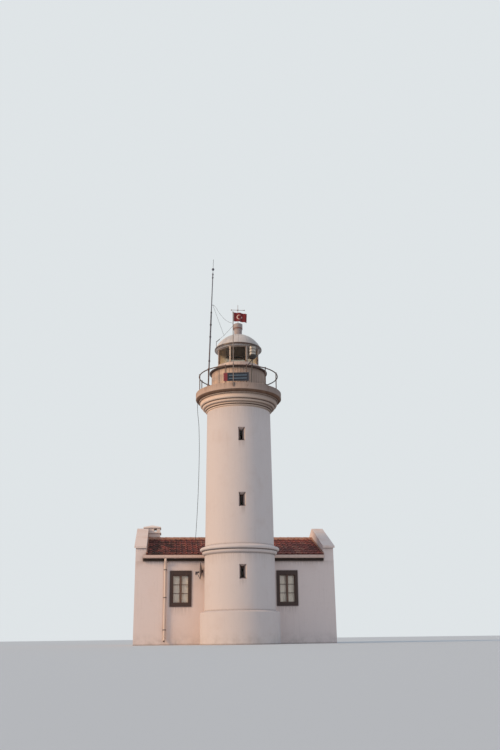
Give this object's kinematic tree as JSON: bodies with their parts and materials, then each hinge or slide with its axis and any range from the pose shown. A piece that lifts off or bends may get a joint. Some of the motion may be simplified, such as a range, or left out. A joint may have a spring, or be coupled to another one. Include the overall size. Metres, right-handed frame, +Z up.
{
  "type": "lighthouse with keeper's house",
  "caption": "Round plastered lighthouse tower with gallery, eight-sided glazed lantern, mast and flagpole, standing against the front of a low tiled keeper's house.",
  "frame": {"origin": "on the tower's axis at ground level, in the middle of the foot of the round tower", "axes": "+Z up, towards the mast's tip; -Y out of the front, where the tower stands before the house; +X to the right as the front is looked at"},
  "size_m": [8.914, 9.398, 17.14],
  "materials": {
    "plaster": "matte",
    "floor_stone": "matte",
    "roof_tile": "matte",
    "dark_wood": "matte",
    "brown_wood": "satin",
    "door_paint": "satin",
    "glass": "gloss",
    "lace": "matte",
    "flag_cloth": "matte",
    "cream_metal": "satin",
    "lantern_metal": "satin",
    "vent_metal": "satin",
    "rail_metal": "matte",
    "dark_metal": "satin",
    "rod_metal": "satin",
    "mast_metal": "satin",
    "dish_metal": "satin",
    "sign_paint": "satin",
    "lens": "gloss",
    "steel_wire": "satin",
    "lead_jacket": "matte"
  },
  "bodies": {
    "root": {"aerial_wires": "steel_wire", "aux_light_housing": "dark_metal", "aux_light_lens": "lens", "back_door": "door_paint", "back_step": "plaster", "back_wall": "plaster", "belt_course": "plaster", "chimney": "plaster", "curtain_rods": "rod_metal", "curtains": "lace", "downpipe": "cream_metal", "eave_boards": "dark_wood", "flag": "flag_cloth", "flagpole": "rail_metal", "front_wall_left": "plaster", "front_wall_right": "plaster", "gable_copings": "plaster", "gable_walls": "plaster", "gallery_cornice": "plaster", "gallery_lead": "lead_jacket", "gallery_posts": "rail_metal", "gallery_slab": "plaster", "gallery_top_rail": "rail_metal", "ground_floor": "floor_stone", "gutters": "cream_metal", "lantern_drum": "lantern_metal", "lantern_frame": "lantern_metal", "lantern_glass": "glass", "lantern_roof": "lantern_metal", "lantern_sill": "lantern_metal", "lower_shaft_front_back": "plaster", "lower_shaft_sides": "plaster", "mast": "mast_metal", "ridge_cap": "roof_tile", "roof_back": "roof_tile", "roof_front_middle": "roof_tile", "roof_front_sides": "roof_tile", "roof_vent": "vent_metal", "satellite_dish": "dish_metal", "sign_board": "sign_paint", "upper_shaft_front_back": "plaster", "upper_shaft_sides": "plaster", "window_and_door_casings": "brown_wood", "window_glass": "glass", "window_sashes": "brown_wood"}
  },
  "joints": []
}
